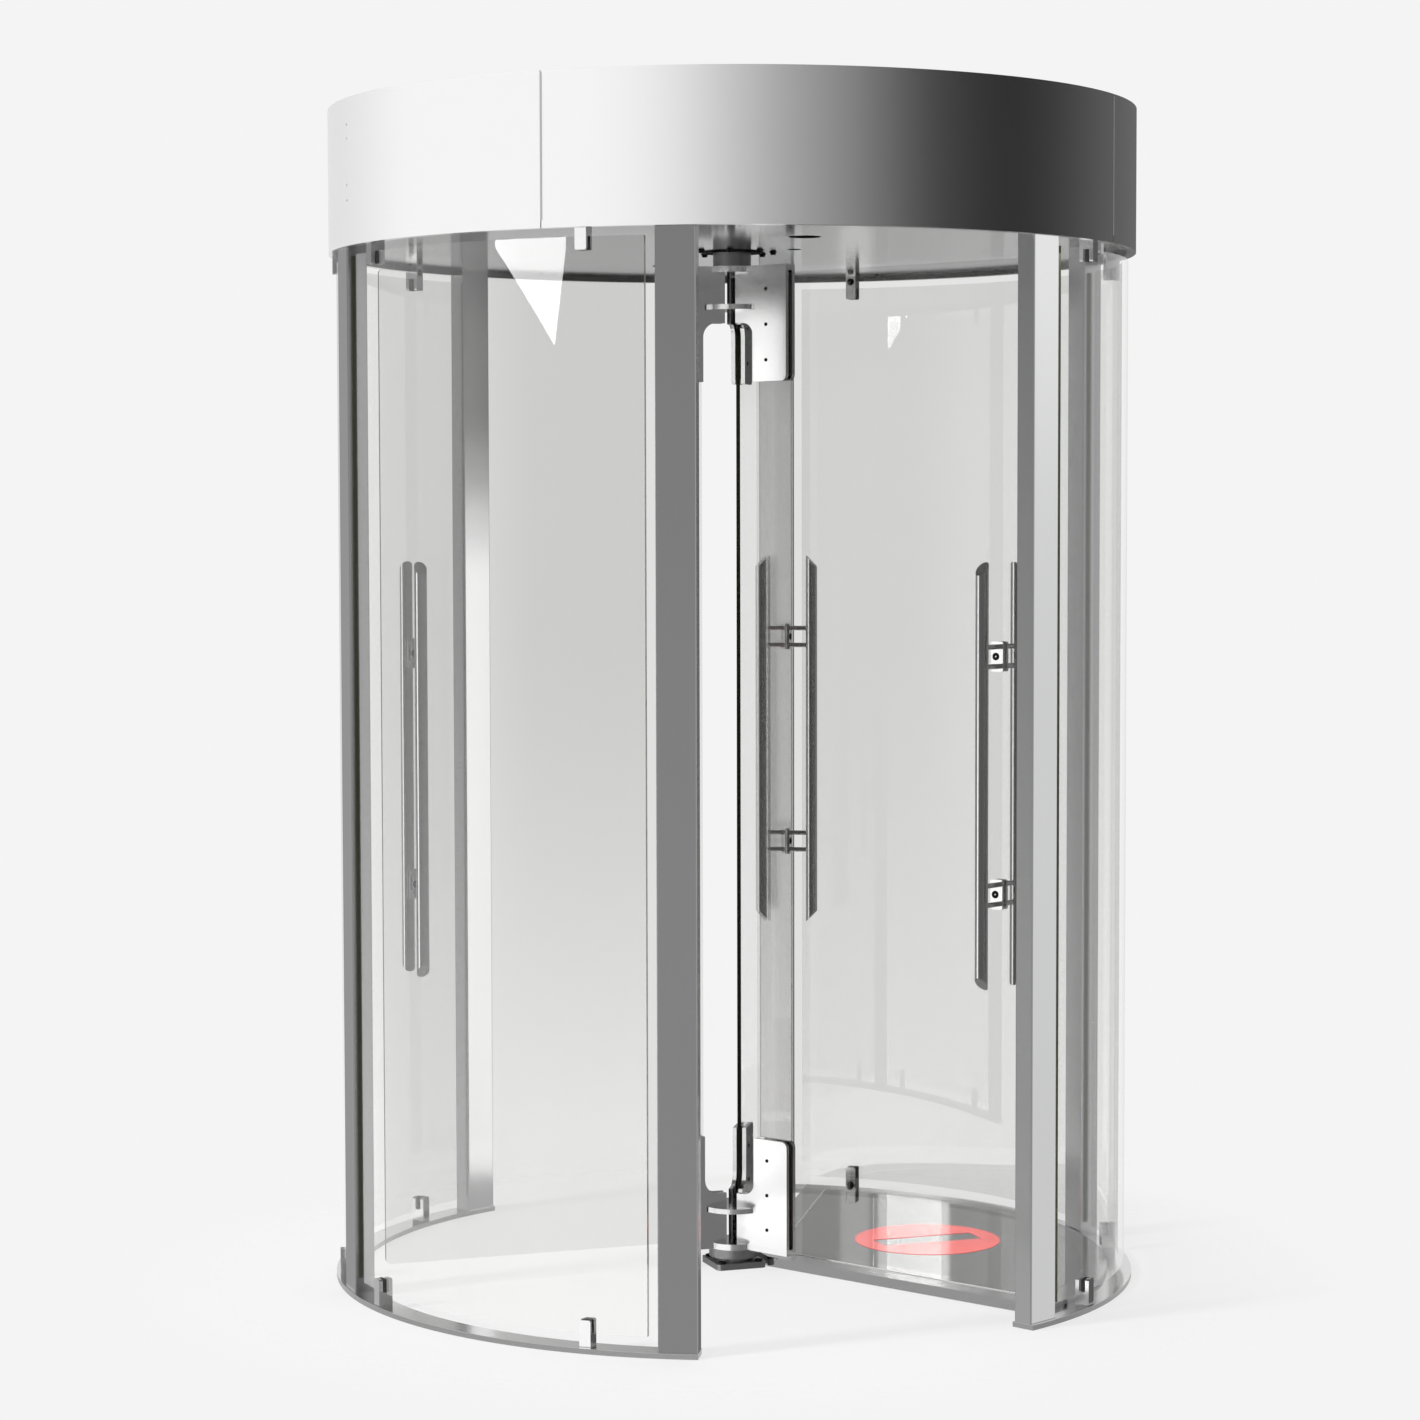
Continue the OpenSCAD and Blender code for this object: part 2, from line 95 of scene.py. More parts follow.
placeCamera(lookFrom)
scene.view_settings.view_transform = "Standard"
scene.cycles.transparent_max_bounces = lookFrom["panes"]
print("camera placed")


class wire:
    # one output socket, with arithmetic that lays Math nodes
    def __init__(self, bench, socket):
        self.bench = bench
        self.socket = socket

    def maths(self, operation, *values):
        return self.bench.add("Math", {"operation": operation}, dict(enumerate(values)))

    def __add__(self, other): return self.maths("ADD", self, other)
    def __radd__(self, other): return self.maths("ADD", other, self)
    def __sub__(self, other): return self.maths("SUBTRACT", self, other)
    def __rsub__(self, other): return self.maths("SUBTRACT", other, self)
    def __mul__(self, other): return self.maths("MULTIPLY", self, other)
    def __rmul__(self, other): return self.maths("MULTIPLY", other, self)
    def __pow__(self, other): return self.maths("POWER", self, other)
    def __rpow__(self, other): return self.maths("POWER", other, self)
    def __neg__(self): return self.maths("MULTIPLY", self, -1)
    def __abs__(self): return self.maths("ABSOLUTE", self)

    def either(self, other): return self.maths("MAXIMUM", self, other)
    def angle(self, other): return self.maths("ARCTAN2", self, other)
    def arcsine(self): return self.maths("ARCSINE", self)

    def spread(self, low, high, start=0, end=1, settings=None):
        # straight line from start to end while this goes from low to high
        ends = {"From Min": low, "From Max": high, "To Min": start, "To Max": end}
        return self.bench.add("MapRange", settings, {"Value": self, **ends})

    def fade(self, low, high, start=0, end=1):
        # the same with a smooth step
        return self.spread(low, high, start, end, {"interpolation_type": "SMOOTHSTEP"})

    def out(self, name):
        # another output of the same node
        return wire(self.bench, self.socket.node.outputs[name])


class shaderBench:
    def __init__(self, tree):
        self.tree = tree
        tree.nodes.clear()

    def add(self, kind, settings=None, inputs=None):
        node = self.tree.nodes.new("ShaderNode" + kind)
        for name, value in (settings or {}).items():
            if name == "stops":
                self.setStops(node.color_ramp.elements, value)
            else:
                setattr(node, name, value)
        for key, value in (inputs or {}).items():
            self.plug(node.inputs[key], value)
        return wire(self, node.outputs[0]) if len(node.outputs) else None

    def setStops(self, stops, levels):
        # grey ramp from rows of place and level
        stops.remove(stops[1])
        stops[0].position = levels[0][0]
        for k, (place, level) in enumerate(levels):
            stop = stops.new(place) if k else stops[0]
            stop.color = (level, level, level, 1)

    def plug(self, socket, value):
        if isinstance(value, wire):
            self.tree.links.new(value.socket, socket)
        elif socket.type == "RGBA" and len(value) == 3:
            socket.default_value = (*value, 1)
        else:
            socket.default_value = value

    def split(self, vector):
        x = self.add("SeparateXYZ", {}, {0: vector})
        return x, x.out("Y"), x.out("Z")

    def vectors(self, operation, *values):
        return self.add("VectorMath", {"operation": operation}, dict(enumerate(values)))

    def shade(self, colour, factor):
        # colour times a number
        return self.add("VectorMath", {"operation": "SCALE"}, {"Vector": colour, "Scale": factor})

    def tint(self, share, first, second):
        # colour between first and second; the node's colours are its sockets 6 and 7, and its output 2
        return self.add("Mix", {"data_type": "RGBA"}, {0: share, 6: first, 7: second}).out(2)

    def noise(self, place, scale, detail, softness=0.5):
        sockets = {"Vector": place, "Scale": scale, "Detail": detail, "Roughness": softness}
        return self.add("TexNoise", {}, sockets)

    def blend(self, share, first, second):
        return self.add("MixShader", {}, {0: share, 1: first, 2: second})

    def glow(self, colour):
        return self.add("Emission", {}, {"Color": colour, "Strength": 1.0})

    def clear(self, tint=(1, 1, 1)):
        return self.add("BsdfTransparent", {}, {"Color": tint})

    def coverWith(self, surface, output="OutputMaterial"):
        self.add(output, {}, {"Surface": surface})


def newFinish(name):
    finish = bpy.data.materials.new(name)
    finish.use_nodes = True
    return finish, shaderBench(finish.node_tree)


# what all brushed finishes share, with the ranges of the masks for painted light and painted shade
brushing = {"detail": 3, "softness": 0.55, "cloudScale": 3, "cloudDetail": 2, "depth": 0.0004,
            "upright": (0.3, 0.7), "paintedInwardShade": (-0.7, -0.3)}


def brushedSteel(name, look):
    finish, bench = newFinish(name)
    coords = bench.add("TexCoord")
    place, towards = coords.out("Object"), coords.out("Normal")
    x, y, z = bench.split(place)
    grain = look["grain"]                        # how fine the brushing is along x, y and z
    if look.get("around"):                       # brushing that follows the drum
        x, y = y.angle(x), (x * x + y * y) ** 0.5
    lines = bench.add("CombineXYZ", {}, {0: x * grain[0], 1: y * grain[1], 2: z * grain[2]})
    brushed = bench.noise(lines, 1, brushing["detail"], brushing["softness"])
    streak = brushed - 0.5
    cloud = bench.noise(place, brushing["cloudScale"], brushing["cloudDetail"]) - 0.5
    level = 1 + streak * look["streak"] + cloud * look["cloud"]
    if "upright" in look:                        # painted light by facing: upright faces get their own brightness
        flat = abs(bench.split(towards)[2])
        # painted highlight: a thin band at the top of the upright faces is made brighter
        rim = z.fade(*look["rim"]) * look["paintedRimHighlight"]
        level = level * flat.spread(*brushing["upright"], look["upright"], 1).either(rim)
    if "paintedInwardShade" in look:                         # painted shade: the faces that look at the rotor are darkened, standing for the shadow inside the canopy
        outward = bench.vectors("NORMALIZE", bench.vectors("MULTIPLY", place, (1, 1, 0)))
        away = bench.vectors("DOT_PRODUCT", towards, outward).out("Value")
        level = level * away.spread(*brushing["paintedInwardShade"], look["paintedInwardShade"], 1)
    colour = bench.shade(look["colour"], level)
    rough = look["roughness"] + streak * look["roughStreak"] + cloud * look["roughCloud"]
    bump = bench.add("Bump", {}, {"Strength": look["bump"], "Distance": brushing["depth"], "Height": brushed})
    bench.coverWith(bench.add("BsdfPrincipled", {}, {
        "Base Color": colour, "Metallic": look.get("metallic", 1.0), "Roughness": rough, "Normal": bump,
    }))
    return finish


# the canopy's faces that look at the rotor are darkened as painted shade
canopyLook = {"colour": (0.80, 0.80, 0.80), "roughness": 0.26, "grain": (40, 1, 900), "around": True,
              "paintedInwardShade": 0.25, "streak": 0.025, "cloud": 0.02, "roughStreak": 0.02, "roughCloud": 0.02,
              "bump": 0.004}
soffitLook = {"colour": (0.37, 0.37, 0.37), "roughness": 0.12, "grain": (500, 12, 12),
              "streak": 0.03, "cloud": 0.04, "roughStreak": 0.03, "roughCloud": 0.03, "bump": 0.006}
postLook = {"colour": (0.58, 0.58, 0.585), "roughness": 0.20, "grain": (700, 700, 9),
            "streak": 0.04, "cloud": 0.05, "roughStreak": 0.04, "roughCloud": 0.03, "bump": 0.01}
clipLook = {"colour": (0.78, 0.78, 0.78), "roughness": 0.16, "grain": (900, 900, 60),
            "streak": 0.05, "cloud": 0.03, "roughStreak": 0.05, "roughCloud": 0.02, "bump": 0.03}
ringLook = {"colour": (0.62, 0.62, 0.62), "roughness": 0.16, "grain": (60, 900, 900), "around": True,
            # upright and rim are painted light: upright faces at their own brightness, a painted highlight along
            # their top edge
            "upright": 1.08, "rim": (0.0086, 0.0094), "paintedRimHighlight": 1.5,
            "streak": 0.05, "cloud": 0.04, "roughStreak": 0.05, "roughCloud": 0.03, "bump": 0.03}
borderLook = {"colour": (0.62, 0.62, 0.62), "roughness": 0.14, "grain": (18, 700, 700),
              "streak": 0.05, "cloud": 0.04, "roughStreak": 0.05, "roughCloud": 0.03, "bump": 0.03}
panelLook = {"colour": (0.58, 0.58, 0.58), "roughness": 0.035, "grain": (14, 600, 600),
             "streak": 0.03, "cloud": 0.04, "roughStreak": 0.01, "roughCloud": 0.01, "bump": 0.002}
barLook = {"colour": (0.76, 0.76, 0.76), "roughness": 0.09, "grain": (900, 900, 50),
           "streak": 0.02, "cloud": 0.02, "roughStreak": 0.02, "roughCloud": 0.02, "bump": 0.002}
hubLook = {"colour": (0.78, 0.78, 0.78), "roughness": 0.17, "grain": (30, 30, 700),
           "streak": 0.04, "cloud": 0.03, "roughStreak": 0.04, "roughCloud": 0.03, "bump": 0.03}
bearingLook = {"colour": (0.26, 0.26, 0.262), "roughness": 0.34, "grain": (30, 30, 500), "metallic": 0.8,
               "streak": 0.06, "cloud": 0.05, "roughStreak": 0.06, "roughCloud": 0.05, "bump": 0.03}

# finish of every slot in the part's record
slotFinishes = {
    "canopy_steel": brushedSteel("canopySteel", canopyLook),
    "soffit_steel": brushedSteel("soffitSteel", soffitLook),
    "post_steel": brushedSteel("postSteel", postLook),
    "clip_steel": brushedSteel("clipSteel", clipLook),
    "ring_steel": brushedSteel("ringSteel", ringLook),
    "platform_border_steel": brushedSteel("borderSteel", borderLook),
    "platform_panel_steel": brushedSteel("panelSteel", panelLook),
    "bar_steel": brushedSteel("barSteel", barLook),
    "hub_steel": brushedSteel("hubSteel", hubLook),
}
bearingSteel = brushedSteel("bearingSteel", bearingLook)
bearingParts = ("head_shaft", "foot_shaft", "foot_bearing")
print("steel finishes made")


# what all paints and rubbers share
speckling = {"detail": 4, "broadScale": 14, "broadDetail": 2, "depth": 0.0004,
             "least": 0.8, "speckShade": 0.25, "broadShade": 0.15, "speckRough": 0.2}


def paintedFinish(name, look):
    finish, bench = newFinish(name)
    place = bench.add("TexCoord").out("Object")
    specks = bench.noise(place, look["specks"], speckling["detail"])
    broad = bench.noise(place, speckling["broadScale"], speckling["broadDetail"])
    level = speckling["least"] + specks * speckling["speckShade"] + broad * speckling["broadShade"]
    rough = look["roughness"] + (specks - 0.5) * speckling["speckRough"]
    bump = bench.add("Bump", {}, {"Strength": look["bump"], "Distance": speckling["depth"], "Height": specks})
    bench.coverWith(bench.add("BsdfPrincipled", {}, {
        "Base Color": bench.shade(look["colour"], level), "Metallic": 0.0, "Roughness": rough, "Normal": bump,
        "Specular IOR Level": look["shine"],
    }))
    return finish


rubber = paintedFinish("blackRubber", {
    "colour": (0.012, 0.012, 0.012), "roughness": 0.6, "specks": 900, "bump": 0.25, "shine": 0.05})
housingPaint = paintedFinish("housingPaint", {
    "colour": (0.05, 0.05, 0.05), "roughness": 0.5, "specks": 500, "bump": 0.15, "shine": 0.3})
blackScrew = paintedFinish("blackScrew", {
    "colour": (0.012, 0.012, 0.013), "roughness": 0.45, "specks": 400, "bump": 0.1, "shine": 0.05})
stripPaint = paintedFinish("stripPaint", {
    "colour": (0.33, 0.33, 0.33), "roughness": 0.5, "specks": 500, "bump": 0.05, "shine": 0.3})
darkLens = paintedFinish("darkLens", {
    "colour": (0.008, 0.008, 0.009), "roughness": 0.25, "specks": 60, "bump": 0.02, "shine": 0.0})
# near-white paint of the panel's seam bead, a painted highlight
seamBead = paintedFinish("seamBead", {
    "colour": (0.86, 0.86, 0.86), "roughness": 0.4, "specks": 300, "bump": 0.02, "shine": 0.5})
slotFinishes["gasket_rubber"] = rubber
slotFinishes["housing_paint"] = housingPaint


# what all glass shares; a face is sheet or cut edge by how far it turns away from the pane
glassCut = {"turned": (0.25, 0.6), "level": (0.3, 0.8), "mistScale": 1.7, "mistDetail": 2,
            "mistLeast": 0.75, "mistShade": 0.5, "rimRoughness": 0.12}


def clearGlass(name, look):
    finish, bench = newFinish(name)
    coords = bench.add("TexCoord")
    place, towards = coords.out("Object"), coords.out("Normal")
    outward = bench.vectors("NORMALIZE", bench.vectors("MULTIPLY", place, (1, 1, 0)))
    along = abs(bench.vectors("DOT_PRODUCT", towards, outward).out("Value"))
    level = abs(bench.split(towards)[2])                   # 1 on the faces that lie level
    front = 1 - bench.add("NewGeometry").out("Backfacing")
    away = 1 - along if look["curved"] else along.either(level)
    edge = away.fade(*glassCut["turned"]) * front * level.spread(*glassCut["level"], 1, look["levelEdge"])
    mist = bench.noise(place, glassCut["mistScale"], glassCut["mistDetail"])
    mirror = bench.add("BsdfGlossy", {"distribution": "GGX"}, {"Color": (1, 1, 1), "Roughness": 0.0})
    gleam = bench.add("Fresnel", {}, {"IOR": look["gleam"]})
    sheet = bench.blend(gleam * front, bench.clear(look["tint"]), mirror)
    rimColour = bench.shade(look["edgeColour"], glassCut["mistLeast"] + mist * glassCut["mistShade"])
    rim = bench.add("BsdfPrincipled", {}, {
        "Base Color": rimColour, "Roughness": glassCut["rimRoughness"], "Metallic": 0.0,
    })
    bench.coverWith(bench.blend(edge, sheet, rim))
    return finish


wallGlassLook = {"curved": True, "tint": (0.918, 0.919, 0.915), "gleam": 1.55,
                 "edgeColour": (0.17, 0.175, 0.115), "levelEdge": 0.5}
wingGlassLook = {"curved": False, "tint": (0.925, 0.926, 0.922), "gleam": 1.5,
                 "edgeColour": (0.010, 0.011, 0.005), "levelEdge": 0.15}
slotFinishes["wall_glass"] = clearGlass("wallGlass", wallGlassLook)
slotFinishes["wing_glass"] = clearGlass("wingGlass", wingGlassLook)

slotOf = {part["node"]: part["material_slot"] for part in frame["record"]["subparts"]}
for name, node in frame["nodes"].items():
    node.data.materials.clear()
    node.data.materials.append(bearingSteel if name in bearingParts else slotFinishes[slotOf[name]])
print("finishes put on")


def onAzimuth(azimuth, distance, height=0.0):
    turn = math.radians(azimuth)
    return Vector((distance * math.sin(turn), -distance * math.cos(turn), height))


def azimuthOf(spot):
    return math.degrees(math.atan2(spot.x, -spot.y))


def cornersOf(name):
    return [v.co for v in frame["nodes"][name].data.vertices]


def radiusOf(spot):
    return Vector((spot.x, spot.y)).length


def facing(spot, outward):
    # place at spot whose own z points outward
    return Matrix.Translation(spot) @ Vector(outward).to_track_quat("Z", "Y").to_matrix().to_4x4()


def looseParts(name):
    # the separate solids of a CAD part, as lists of corners; those within 0.01 mm are one
    data = frame["nodes"][name].data
    spots = {}
    ids = [spots.setdefault(tuple(round(c, 5) for c in v.co), len(spots)) for v in data.vertices]
    chief = list(range(len(spots)))

    def root(k):
        while chief[k] != k:
            chief[k] = chief[chief[k]]
            k = chief[k]
        return k

    for face in data.polygons:
        first = root(ids[face.vertices[0]])
        for v in face.vertices[1:]:
            chief[root(ids[v])] = first
    groups = {}
    for v in data.vertices:
        groups.setdefault(root(ids[v.index]), []).append(v.co.copy())
    return list(groups.values())


def reachOf(corners):
    # middle, lowest and highest corner of the box round them
    low = Vector([min(c[k] for c in corners) for k in range(3)])
    high = Vector([max(c[k] for c in corners) for k in range(3)])
    return (low + high) / 2, low, high


def circlePoint(radius, share, sides=0):
    # a point on a circle, or on a many-sided hole with that reach
    turn = math.tau * share
    if sides:
        half = math.pi / sides
        radius = radius * math.cos(half) / math.cos(turn % (2 * half) - half)
    return radius * math.cos(turn), radius * math.sin(turn)


def turned(mesh, profile, place, steps=36):
    # profile rows are radius, height and, for a hex hole, its number of sides
    loops = []
    for row in profile:
        radius, height, sides = (*row, 0)[:3]
        if radius == 0:
            loops.append([mesh.verts.new(place @ Vector((0, 0, height)))])
        else:
            loops.append([mesh.verts.new(place @ Vector((*circlePoint(radius, k / steps, sides), height)))
                          for k in range(steps)])
    for lower, upper in zip(loops, loops[1:]):
        for k in range(steps):
            after = (k + 1) % steps
            corners = [lower[k % len(lower)], lower[after % len(lower)],
                       upper[after % len(upper)], upper[k % len(upper)]]
            mesh.faces.new(list(dict.fromkeys(corners)))


def uprightStrip(mesh, outward, across, distance, thick, wide, bottom, top, bevel):
    # upright strip with eased edges, its middle at that distance from the rotor's axis
    corners = bmesh.ops.create_cube(mesh, size=1)["verts"]
    for v in corners:
        x, y, z = v.co
        v.co = outward * (distance + x * thick) + across * (y * wide)
        v.co.z = (bottom + top) / 2 + z * (top - bottom)
    edges = list(dict.fromkeys(e for v in corners for e in v.link_edges))
    bmesh.ops.bevel(mesh, geom=edges, offset=bevel, segments=1, affect="EDGES")


def newPiece(name, mesh, finish, body, sharp=32):
    bmesh.ops.recalc_face_normals(mesh, faces=mesh.faces)
    data = bpy.data.meshes.new(name)
    mesh.to_mesh(data)
    mesh.free()
    data.materials.append(finish)
    data.shade_smooth()
    data.set_sharp_from_angle(angle=math.radians(sharp))
    made = bpy.data.objects.new(name, data)
    scene.collection.objects.link(made)
    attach(made, body)
    return made


headShape = {"ease": 0.3, "tip": 1.25}                     # of the rim's edge, and of the socket's depth


def headProfile(look):
    # screw head with a rounded rim and a hex socket, from its seat up
    radius, height, edge, socket = look["radius"], look["height"], look["edge"], look["socket"]
    eased, tip = edge * headShape["ease"], look["depth"] * headShape["tip"]
    return [(0, 0), (radius, 0), (radius, height - edge), (radius - eased, height - eased),
            (radius - edge, height), (socket, height, 6), (socket, height - look["depth"], 6), (0, height - tip)]


wingAzimuths = [azimuthOf(reachOf(looseParts(f"wing_glass_{k}")[0])[0]) for k in (1, 2, 3)]
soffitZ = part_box("canopy_soffit")[0].z
sunkSeat = 0.0001                                          # heads start this far inside their face
smallSteps = 24                                            # corners round a small screw


def eachClip():
    for side in ("left", "right"):
        for level in ("bottom", "top"):
            for corners in looseParts(f"{level}_clips_{side}"):
                yield level, corners


clipScrewLook = {"radius": 0.0074, "height": 0.0058, "edge": 0.0009, "socket": 0.0040, "depth": 0.0038,
                 "fromEnd": 0.012, "fromInside": 0.0068}


def makeClipScrews(look):
    mesh = bmesh.new()
    for level, corners in eachClip():
        centre, low, high = reachOf(corners)
        outward = onAzimuth(azimuthOf(centre), 1)
        spot = outward * (min(c.dot(outward) for c in corners) + look["fromInside"])
        spot.z = low.z + look["fromEnd"] if level == "bottom" else high.z - look["fromEnd"]
        turned(mesh, headProfile(look), facing(spot, -outward))
    newPiece("clip_screws", mesh, blackScrew, "frame")


linerLook = {"thick": 0.005, "proud": 0.0003, "short": 0.001, "bevel": 0.0006}


def makeClipLiners(look):
    # black strip in every clip's slot
    mesh = bmesh.new()
    glassLow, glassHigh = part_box("wall_glass_front_left")
    radii = [round(radiusOf(c), 3) for c in cornersOf("wall_glass_front_left")]
    slot = (min(radii) + max(radii)) / 2
    for level, corners in eachClip():
        centre, low, high = reachOf(corners)
        azimuth = azimuthOf(centre)
        outward, across = onAzimuth(azimuth, 1), onAzimuth(azimuth + 90, 1)
        wide = 2 * (max(abs(c.dot(across)) for c in corners) + look["proud"])
        bottom = glassLow.z if level == "bottom" else low.z + look["short"]
        top = high.z - look["short"] if level == "bottom" else glassHigh.z
        uprightStrip(mesh, outward, across, slot, look["thick"], wide, bottom, top, look["bevel"])
    newPiece("clip_liners", mesh, rubber, "frame")


soffitScrewLook = {"radius": 0.0045, "height": 0.0016, "edge": 0.0005, "socket": 0.0022, "depth": 0.0012,
                   "distance": 0.742, "azimuths": (14, 45, 76, 104, 135, 166, 194, 225, 256, 284, 315, 346)}


def makeSoffitScrews(look):
    mesh = bmesh.new()
    for azimuth in look["azimuths"]:
        spot = onAzimuth(azimuth, look["distance"], soffitZ)
        turned(mesh, headProfile(look), facing(spot, (0, 0, -1)), smallSteps)
    newPiece("soffit_screws", mesh, blackScrew, "frame")


plateScrewLook = {"radius": 0.0036, "height": 0.0012, "edge": 0.0004, "socket": 0.0018, "depth": 0.0009,
                  "distance": 0.099, "first": 0.035, "pitch": 0.070, "count": 3, "plateFrom": 0.08}


def makePlateScrews(look):
    mesh = bmesh.new()
    for level in ("bottom", "top"):
        name = f"clamp_plates_{level}"
        low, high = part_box(name)
        ahead, across = onAzimuth(wingAzimuths[0], 1), onAzimuth(wingAzimuths[0] + 90, 1)
        face = max(abs(c.dot(across)) for c in cornersOf(name) if c.dot(ahead) > look["plateFrom"])
        for azimuth in wingAzimuths:
            for side in (-1, 1):
                outward = onAzimuth(azimuth + 90, side)
                for k in range(look["count"]):
                    rise = look["first"] + k * look["pitch"]
                    z = low.z + rise if level == "bottom" else high.z - rise
                    spot = onAzimuth(azimuth, look["distance"], z) + outward * (face - sunkSeat)
                    turned(mesh, headProfile(look), facing(spot, outward), smallSteps)
    newPiece("plate_screws", mesh, blackScrew, "rotor")


clampScrewLook = {"radius": 0.0072, "height": 0.0016, "edge": 0.0005, "socket": 0.0036, "depth": 0.0013,
                  "pastRods": 0.026}                       # height beyond which only the clamp's plate is left


def makeClampScrews(look):
    mesh = bmesh.new()
    for k, azimuth in enumerate(wingAzimuths):
        ahead, across = onAzimuth(azimuth, 1), onAzimuth(azimuth + 90, 1)
        for corners in looseParts(f"bar_clamps_{k + 1}"):
            centre = reachOf(corners)[0]
            outward = across if centre.dot(across) > 0 else -across
            face = max(c.dot(outward) for c in corners if abs(c.z - centre.z) > look["pastRods"])
            spot = ahead * centre.dot(ahead) + outward * (face - sunkSeat)
            spot.z = centre.z
            turned(mesh, headProfile(look), facing(spot, outward))
    newPiece("clamp_screws", mesh, blackScrew, "rotor")


footScrewLook = {"radius": 0.0075, "height": 0.0042, "edge": 0.0010, "socket": 0.0038, "depth": 0.0028,
                 "inset": 0.013, "rim": 0.002}


def makeFootScrews(look):
    mesh = bmesh.new()
    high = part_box("foot_bearing")[1]
    top = max(c.z for c in cornersOf("foot_bearing") if abs(c.x) > high.x - look["rim"])
    for x in (-1, 1):
        for y in (-1, 1):
            spot = Vector((x * (high.x - look["inset"]), y * (high.y - look["inset"]), top - sunkSeat))
            turned(mesh, headProfile(look), Matrix.Translation(spot))
    newPiece("foot_screws", mesh, blackScrew, "frame")


makeClipScrews(clipScrewLook)
makeClipLiners(linerLook)
makeSoffitScrews(soffitScrewLook)
makePlateScrews(plateScrewLook)
makeClampScrews(clampScrewLook)
makeFootScrews(footScrewLook)
print("screws and liners made")


canopyJointLook = {"wide": 0.0038, "proud": 0.0002, "deep": 0.0012, "bevel": 0.0002,
                   "foot": 0.014, "head": 0.004}


def makeCanopyJoints(look):
    # grey strips in the upright joints of the canopy's side
    mesh = bmesh.new()
    corners = cornersOf("canopy_panel_front")
    reach = max(radiusOf(c) for c in corners)
    edge = max(abs(azimuthOf(c)) for c in corners)
    low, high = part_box("canopy_panel_front")
    for azimuth in (edge, -edge, 180 - edge, edge - 180):
        uprightStrip(mesh, onAzimuth(azimuth, 1), onAzimuth(azimuth + 90, 1),
                     reach + look["proud"] - look["deep"] / 2, look["deep"], look["wide"],
                     low.z + look["foot"], high.z - look["head"], look["bevel"])
    newPiece("canopy_joints", mesh, stripPaint, "frame")


rivetLook = {"radius": 0.0022, "height": 0.0006, "edge": 0.0002, "socket": 0.0009, "depth": 0.0003,
             "sunk": 0.0003, "azimuth": 86.0, "fromTop": (0.051, 0.077, 0.165, 0.194)}


def makeRivets(look):
    mesh = bmesh.new()
    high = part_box("canopy_panel_front")[1]
    reach = max(radiusOf(c) for c in cornersOf("canopy_panel_front"))
    for side in (-1, 1):
        outward = onAzimuth(side * look["azimuth"], 1)
        for drop in look["fromTop"]:
            spot = outward * (reach - look["sunk"])
            spot.z = high.z - drop
            turned(mesh, headProfile(look), facing(spot, outward), smallSteps)
    newPiece("canopy_rivets", mesh, stripPaint, "frame")


makeCanopyJoints(canopyJointLook)
makeRivets(rivetLook)
print("canopy joints and rivets made")


headSealLook = {"inner": 0.0395, "outer": 0.060, "thick": 0.0025, "chamfer": 0.0008, "lip": 0.003, "steps": 72}
headBoltLook = {"radius": 0.0055, "height": 0.0042, "edge": 0.0008, "socket": 0.0028, "depth": 0.0026,
                "washer": 0.0075, "washerThick": 0.0014, "distance": 0.082, "count": 8, "first": 22.5}


def makeHeadSeal(look):
    # black seal round the rotor's collar
    mesh = bmesh.new()
    inner, outer, thick, chamfer = look["inner"], look["outer"], look["thick"], look["chamfer"]
    profile = [(inner, 0), (outer, 0), (outer, thick - chamfer), (outer - chamfer, thick),
               (inner + look["lip"], thick), (inner + look["lip"] / 3, thick - chamfer),
               (inner, thick - 2 * chamfer), (inner, 0)]
    turned(mesh, profile, facing(Vector((0, 0, soffitZ)), (0, 0, -1)), look["steps"])
    newPiece("head_seal", mesh, rubber, "frame")


def makeHeadBolts(look):
    # the bolts that hold the head bearing
    mesh = bmesh.new()
    washer, thick = look["washer"], look["washerThick"]
    for k in range(look["count"]):
        spot = onAzimuth(look["first"] + 360 * k / look["count"], look["distance"], soffitZ)
        place = facing(spot, (0, 0, -1))
        turned(mesh, [(0, 0), (washer, 0), (washer, thick), (0, thick)], place, smallSteps)
        turned(mesh, headProfile(look), place @ Matrix.Translation((0, 0, thick)), smallSteps)
    newPiece("head_bolts", mesh, blackScrew, "frame")


# the glass is given by shares of the radius and heights, from the bezel to the middle
lensLook = {"below": 0.0003, "bezel": 0.0005, "steps": 48,
            "glass": [(0.93, 0), (0.92, -0.001), (0.9, -0.0012), (0.7, -0.0008), (0.45, -0.0003), (0.2, 0),
                      (0, 0.0001)]}
downlightLook = {"radius": 0.0306, "body": 0.004}          # a little smaller than its hole
sensorLook = {"radius": 0.0136, "body": 0.003, "azimuth": 41, "distance": 0.141}


def makeLens(name, centre, look):
    # dark lens in a thin bezel, just inside its hole in the soffit
    mesh = bmesh.new()
    place = facing(Vector((centre.x, centre.y, soffitZ - lensLook["below"])), (0, 0, -1))
    radius, bezel = look["radius"], lensLook["bezel"]
    profile = [(0, -look["body"]), (radius, -look["body"]), (radius, -bezel), (radius - bezel, 0)]
    profile += [(radius * share, z) for share, z in lensLook["glass"]]
    turned(mesh, profile, place, lensLook["steps"])
    newPiece(name, mesh, darkLens, "frame")


makeHeadSeal(headSealLook)
makeHeadBolts(headBoltLook)
for k, corners in enumerate(looseParts("downlights")):
    makeLens(f"downlight_lens_{k + 1}", reachOf(corners)[0], downlightLook)
makeLens("sensor_lens", onAzimuth(sensorLook["azimuth"], sensorLook["distance"]), sensorLook)
print("head seal, bolts and lenses made")


seamLook = {"wide": 0.0016, "proud": 0.0016, "deep": 0.001, "bevel": 0.0005, "shortest": 0.2, "sharp": 20}


